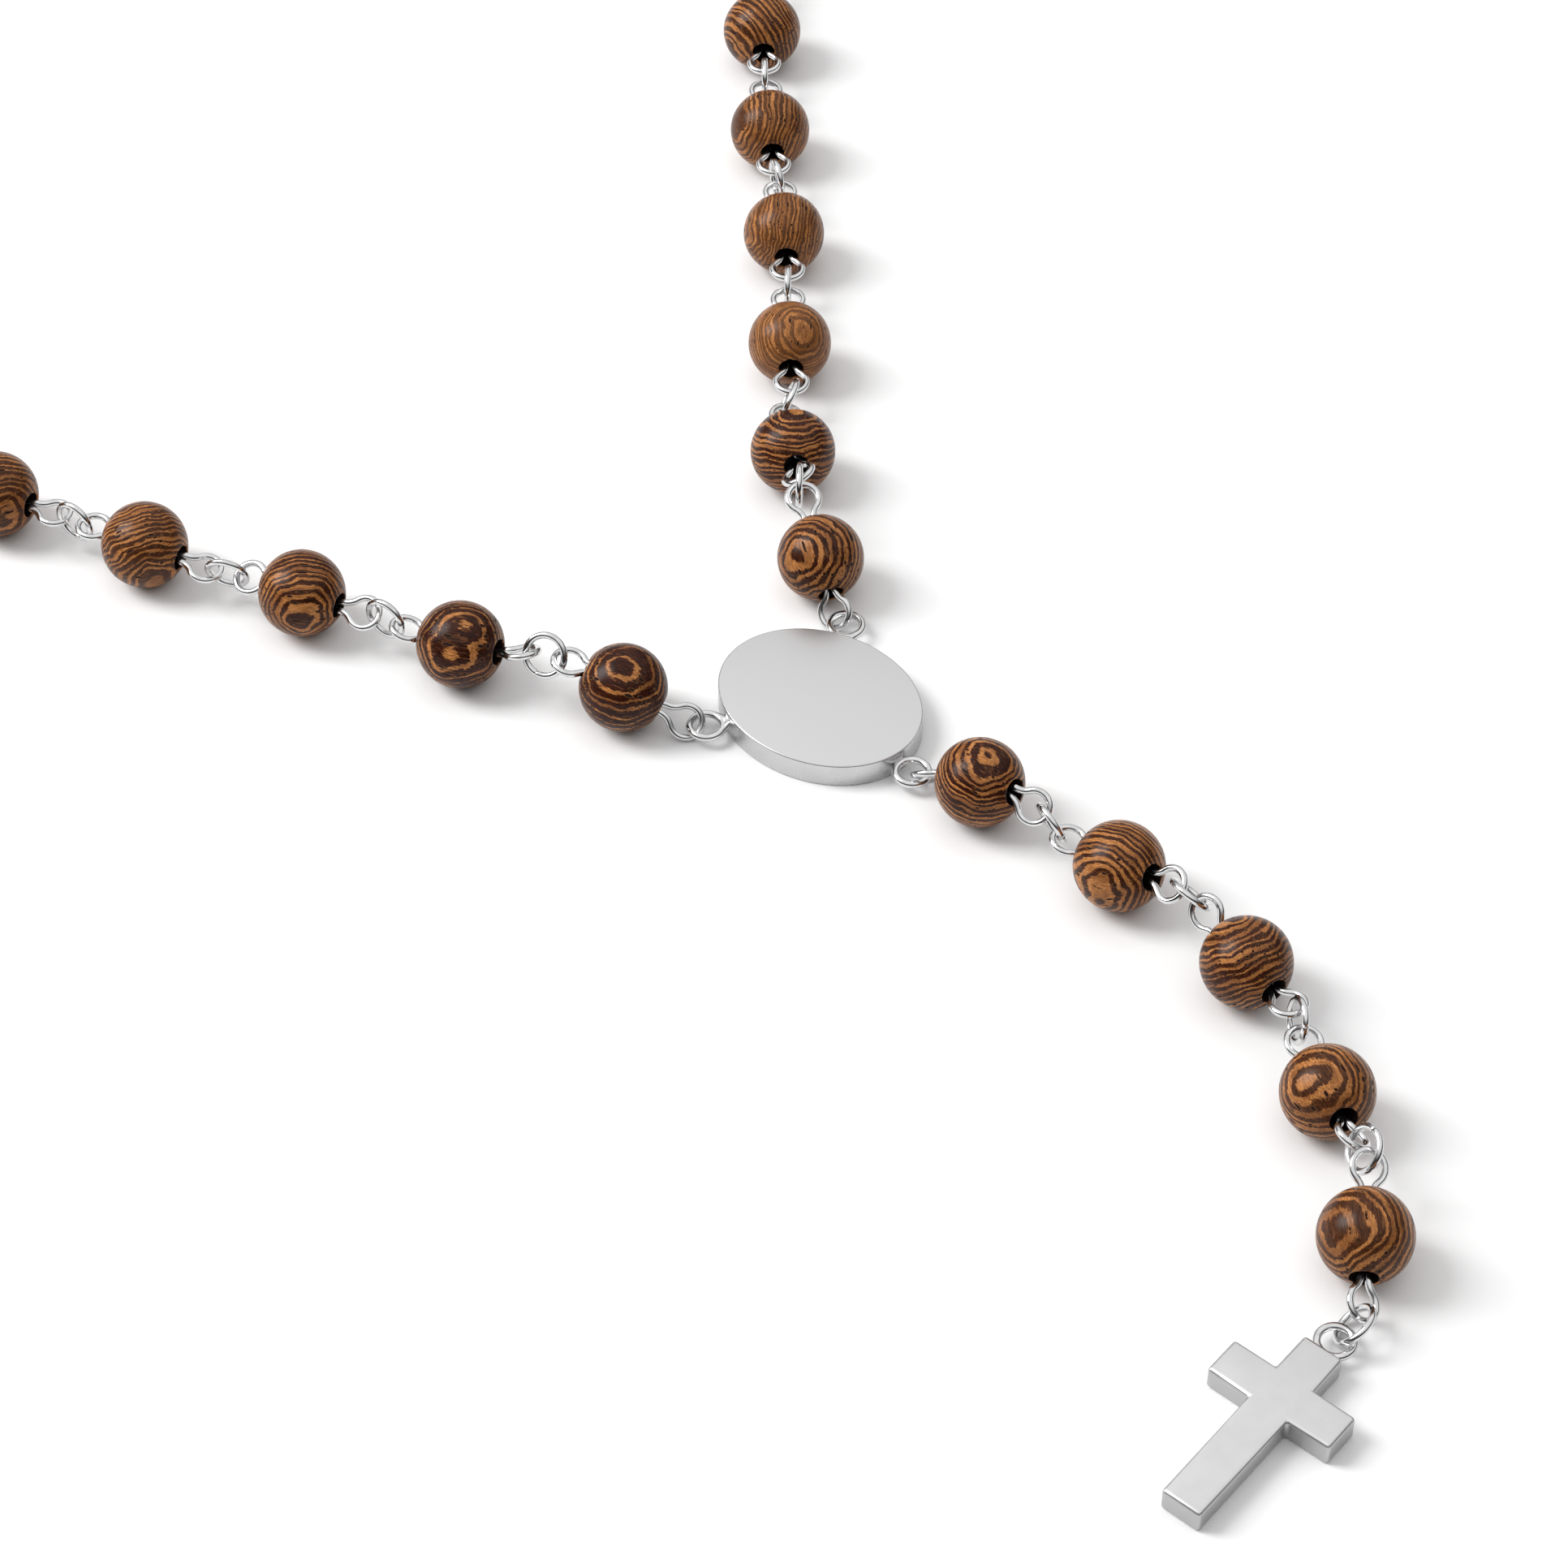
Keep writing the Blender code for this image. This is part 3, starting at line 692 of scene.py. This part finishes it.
def bead_profile():
    """Half outline of a drilled ball about +X as (x, radius) in metres, and how much of it is bore."""
    mouth = math.asin(BORE_R / BEAD_R)
    lip = BEAD_R * math.cos(mouth)
    deep = lip - 2 * RIM
    bore = [(-deep + deep * 2 * k / BORE_ROWS, BORE_R) for k in range(BORE_ROWS + 1)]
    rim = [(lip - 0.8 * RIM, BORE_R + 0.12 * RIM), (lip - 0.25 * RIM, BORE_R + 0.45 * RIM)]
    first = mouth + 0.055
    ball = []
    for k in range(BEAD_ROWS + 1):
        w = first + (math.pi - 2 * first) * k / BEAD_ROWS
        ball.append((BEAD_R * math.cos(w), BEAD_R * math.sin(w)))
    back = [(-x, r) for x, r in reversed(rim)]
    return bore + rim + ball + back, len(bore)


def bead_template():
    """Corners and faces of one bead about +X, and which faces are inside its hole."""
    profile, bore_rows = bead_profile()
    rows = len(profile)
    verts = []
    for x, r in profile:
        for k in range(BEAD_SEGMENTS):
            w = 2 * math.pi * k / BEAD_SEGMENTS
            verts.append((x, r * math.cos(w), r * math.sin(w)))
    faces, inside = [], []
    for i in range(rows):
        one, two = i * BEAD_SEGMENTS, (i + 1) % rows * BEAD_SEGMENTS
        for k in range(BEAD_SEGMENTS):
            j = (k + 1) % BEAD_SEGMENTS
            faces.append((one + j, one + k, two + k, two + j))
            inside.append(i <= bore_rows or i == rows - 1)
    return np.array(verts), faces, np.array(inside)


BEAD_VERTS, BEAD_FACES, BEAD_INSIDE = bead_template()


def waves(points, scale, height, rng):
    """Smooth noise from a few crossing waves, from about -height to height."""
    total = np.zeros(len(points))
    for _ in range(6):
        direction = rng.normal(size=3)
        total += np.sin(points @ direction / scale + rng.uniform(0, 6.28))
    return total / 3 * height


def worn_bead(rng):
    """The bead's corners with a hand-turned skin and chipped lips round its hole."""
    local = BEAD_VERTS.copy()
    skin = np.linalg.norm(local, axis=1) > BEAD_R * 0.97
    uneven = waves(local, *SWELL, rng) + waves(local, *SANDING, rng)
    local[skin] *= (1 + uneven / BEAD_R)[skin][:, None]
    from_axis = np.hypot(local[:, 1], local[:, 2])
    lip = (from_axis < BORE_R * 1.25) & (abs(local[:, 0]) > BEAD_R * 0.85)
    chips = waves(local, *LIP_CHIPS, rng)
    local[lip, 1:] *= (1 + chips / from_axis)[lip][:, None]
    return local


def wood_axes(azimuth, elevation, axis):
    """Directions along the fibres, along a layer and across the layers, as the rows of a matrix."""
    a, e = math.radians(azimuth), math.radians(elevation)
    normal = Vector((math.cos(a) * math.cos(e), math.sin(a) * math.cos(e), math.sin(e)))
    fibre = Vector(axis).cross(normal)
    if fibre.length < 0.2:
        fibre = UP.cross(normal)
    fibre.normalize()
    fibre = (Matrix.Rotation(math.radians(90), 3, normal) @ fibre).normalized()
    return np.array([fibre, normal.cross(fibre), normal])


def bead_shape(centre, axis, layers, seed):
    """Corners in the row frame, their place in the wood, and the wood's tone, for one bead."""
    azimuth, elevation, shift, fineness, pale, share = layers
    rng = np.random.default_rng(seed)
    local = worn_bead(rng)
    turn = np.array(Vector((1, 0, 0)).rotation_difference(Vector(axis)).to_matrix())
    placed = local @ turn.T
    grain = placed @ wood_axes(azimuth, elevation, axis).T / MM
    grain[:, 2] += shift
    grain *= fineness
    grain[:, :2] += rng.uniform(20, 400, 2)
    return placed + np.array(centre), grain, np.tile((pale, share, 0.0), (len(grain), 1))


def new_beads(name, beads, body, stands_for):
    """One piece for one or more beads, each (centre, axis, layers, seed)."""
    shapes = [bead_shape(*bead) for bead in beads]
    places, grains, tones = (np.concatenate(values) for values in zip(*shapes))
    count = len(BEAD_VERTS)
    faces = [tuple(i + count * k for i in f) for k in range(len(beads)) for f in BEAD_FACES]
    mesh = bpy.data.meshes.new(name)
    mesh.from_pydata(places.tolist(), [], faces)
    mesh.materials.append(WOOD)
    mesh.materials.append(BORE)
    mesh.polygons.foreach_set("material_index", np.tile(BEAD_INSIDE, len(beads)).astype(np.int32))
    for attribute, values in (("grain", grains), ("tone", tones)):
        data = mesh.attributes.new(attribute, "FLOAT_VECTOR", "POINT").data
        data.foreach_set("vector", values.astype(np.float32).ravel())
    mesh.shade_smooth()
    ob = add_object(name, mesh)
    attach(ob, body)
    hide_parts(*stands_for)


# ---------------------------------------------------------------- the chain

def add_visible_link(arm, n):
    """A bead, its pin and the jump ring beyond it. Returns the bead's centre."""
    bead, pin, ring = ("%s_%s_%d" % (arm, kind, n) for kind in ("bead", "pin", "ring"))
    centre, axis = joint_point(bead), Vector(JOINTS[bead]["axis"]).normalized()
    seed = 100 * n + len(arm)
    new_beads("wood_" + bead, [(centre, axis, LAYERS[bead], seed)], bead, [bead])
    wire = corners(pin)
    near, far = packed_eye(wire, centre, -axis), packed_eye(wire, centre, axis)
    new_piece("wire_" + pin, [pin_shape(near, far)], WIRE, pin, [pin])
    hoop = corners(ring)
    middle, normal = Vector(hoop.mean(0)), thinnest(hoop)
    along = far.tip - middle
    along = (along - normal * along.dot(normal)).normalized()
    cut = 75 + 40 * (n % 3)       # a different place in each of three rings
    shape = ring_shape(middle, along, normal.cross(along), cut)
    new_piece("wire_" + ring, [shape], WIRE, ring, [ring])
    return centre


def add_visible_arm(arm):
    """The part of an arm that has nodes of its own. Returns its last bead's centre."""
    n = 1
    while "%s_bead_%d" % (arm, n) in frame["nodes"]:
        last = add_visible_link(arm, n)
        n += 1
    return last


def chance_layers(rng):
    """How the wood lies in a bead that the photo doesn't show, in the order of LAYERS."""
    return (rng.uniform(-180, 180), rng.uniform(-60, 90), rng.uniform(0, 1), rng.uniform(0.85, 1.3),
            rng.choice([0.0, 0.1, 0.2, 0.3, 0.6]), rng.uniform(-0.1, 0.5))


def level_pin(centre, axis):
    """A pin whose two eyes lie flat."""
    side = UP.cross(axis)
    near, far = (Eye(centre + way * MOUTH, way, way, side, REACH - MOUTH) for way in (-axis, axis))
    return pin_shape(near, far)


def add_strands(names, before, after, seed, last_ring):
    """The strands of one arm, each bead, pin and jump ring drawn, between two beads' centres."""
    groups = [strand_centres(name) for name in names]
    line = [before] + [c for g in groups for c in g] + [after]
    at = 1
    for name, centres in zip(names, groups):
        beads, wires = [], []
        for centre in centres:
            coming = (centre - line[at - 1]).normalized()
            going = (line[at + 1] - centre).normalized()
            axis = level((coming + going).normalized())
            layers = chance_layers(np.random.default_rng(seed + at))
            beads.append((centre, axis, layers, seed + at))
            wires.append(level_pin(centre, axis))
            if at + 2 < len(line) or last_ring:
                middle = (centre + line[at + 1]) / 2
                cut = 70 + 35 * (at % 4)
                wires.append(ring_shape(middle, going, UP, cut))
            at += 1
        new_beads("wood_" + name, beads, name, [name])
        new_piece("wire_" + name, wires, WIRE, name)


# ---------------------------------------------------------------- medal and cross

def plate_shape(outline, thickness, edge, steps):
    """A flat plate with rounded rims. The outline is a function of how far in from full size it lies."""
    rows = []
    for k in range(steps + 1):
        w = math.pi / 2 * k / steps
        rows.append((edge * (1 - math.sin(w)), edge * (1 - math.cos(w))))
    rows += [(inset, thickness - z) for inset, z in reversed(rows)]
    loops = [outline(inset) for inset, _ in rows]
    count = len(loops[0])
    verts = [Vector((p.x, p.y, z)) for loop, (_, z) in zip(loops, rows) for p in loop]
    return verts, lofted(len(rows), count, False) + end_faces(len(rows), count)


def paint_shaded_walls(ob, material, upright):
    """Gives the faces that don't look nearly up or down a material of their own: a darker grey, as painted
    shade on the walls.
    """
    ob.data.materials.append(material)
    for face in ob.data.polygons:
        if abs(face.normal.z) < upright:
            face.material_index = 1


def add_medal():
    points = corners("medal")
    thickness = points[:, 2].max()
    face = points[points[:, 2] > thickness - 0.01 * MM][:, :2]
    middle = face.mean(0)
    _, ways = np.linalg.eigh((face - middle).T @ (face - middle))
    reach = [abs((face - middle) @ ways[:, i]).max() + MEDAL_EDGE for i in range(2)]
    short, long_way = (Vector((*ways[:, i], 0.0)) for i in range(2))
    centre = Vector((*middle, 0.0))

    def outline(inset):
        out = []
        for k in range(MEDAL_SEGMENTS):
            w = 2 * math.pi * k / MEDAL_SEGMENTS
            out.append(centre + short * (reach[0] - inset) * math.cos(w)
                       + long_way * (reach[1] - inset) * math.sin(w))
        return out if short.cross(long_way).z > 0 else list(reversed(out))

    shape = plate_shape(outline, thickness, MEDAL_EDGE, 4)
    plate = new_piece("medal_plate", [shape], brushed_material(long_way), "medal", ["medal"])
    # The medal's wall gets a darker grey than its face: painted shade, where the wall mirrors the floor in
    # its contact shadow.
    paint_shaded_walls(plate, satin_material("medal_wall_painted_shade", *SHADED_MEDAL_WALL), 0.99)
    plate.data.set_sharp_from_angle(angle=math.radians(60))
    for arm in ("left", "right", "drop"):
        lug = joint_point("%s_pin_1" % arm)
        out = level(lug - centre)
        rim = 1 / math.hypot(out.dot(short) / reach[0], out.dot(long_way) / reach[1])
        wall = (lug - centre).xy.length - rim
        soldered_loop("medal_ring_" + arm, lug, out, wall, "medal")


def add_cross():
    lug = joint_point("cross")
    points = corners("cross")
    thickness = points[:, 2].max()
    plate = points[(points[:, 2] < CROSS_SKIN) | (points[:, 2] > thickness - CROSS_SKIN)]
    along = level(Vector(plate.mean(0)) - lug)
    side = UP.cross(along)
    rel = plate - np.array(lug)
    a, s = rel @ np.array(along), abs(rel @ np.array(side))
    head, foot, arm = a.min(), a.max(), s.max()
    half = s[a < head + CROSS_STEP].max()
    beam = a[s > half + CROSS_STEP]
    near, far = beam.min(), beam.max()
    ground = Vector((lug.x, lug.y, 0.0))

    def outline(_):
        one = [(head, half), (near, half), (near, arm), (far, arm), (far, half), (foot, half)]
        both = one + [(x, -y) for x, y in reversed(one)]
        return [ground + along * x + side * y for x, y in reversed(both)]

    steel = satin_material("satin_steel", *CROSS_FACE)
    shape = plate_shape(outline, thickness, 0.0, 1)
    cross = new_piece("cross_plate", [shape], steel, "cross", ["cross"])
    round_edges(cross, CROSS_EDGE)
    # Painted shade: the walls and the steeper parts of the rounded edges get the darker steel.
    paint_shaded_walls(cross, satin_material("cross_wall_painted_shade", *SHADED_CROSS_WALL), 0.55)
    soldered_loop("cross_ring", lug, -along, head, "cross")


def round_edges(ob, width):
    """Rounds every edge of a plain block."""
    bm = bmesh.new()
    bm.from_mesh(ob.data)
    bmesh.ops.remove_doubles(bm, verts=bm.verts, dist=0.001 * MM)
    bmesh.ops.recalc_face_normals(bm, faces=bm.faces)
    edges = [e for e in bm.edges if e.calc_face_angle(0.0) > 0.5]
    bmesh.ops.bevel(bm, geom=edges, offset=width, segments=5, profile=0.5, affect="EDGES")
    bm.to_mesh(ob.data)
    bm.free()
    ob.data.shade_smooth()
    ob.data.set_sharp_from_angle(angle=math.radians(40))


# ---------------------------------------------------------------- the scene

bpy.context.scene.view_settings.view_transform = "Standard"
add_camera()
add_world()
add_key()
add_floor()

WOOD = wood_material()
BORE = bore_material()
WIRE = wire_material()
add_medal()
add_cross()
LAST = {arm: add_visible_arm(arm) for arm in ("left", "right", "drop")}

# The jump ring where the two arms meet is the left arm's
RIGHT, LEFT = strand_names("right"), strand_names("left")
RIGHT_END, LEFT_END = strand_centres(RIGHT[-1])[-1], strand_centres(LEFT[-1])[-1]
add_strands(RIGHT, LAST["right"], LEFT_END, seed=1000, last_ring=False)
add_strands(LEFT, LAST["left"], RIGHT_END, seed=2000, last_ring=True)
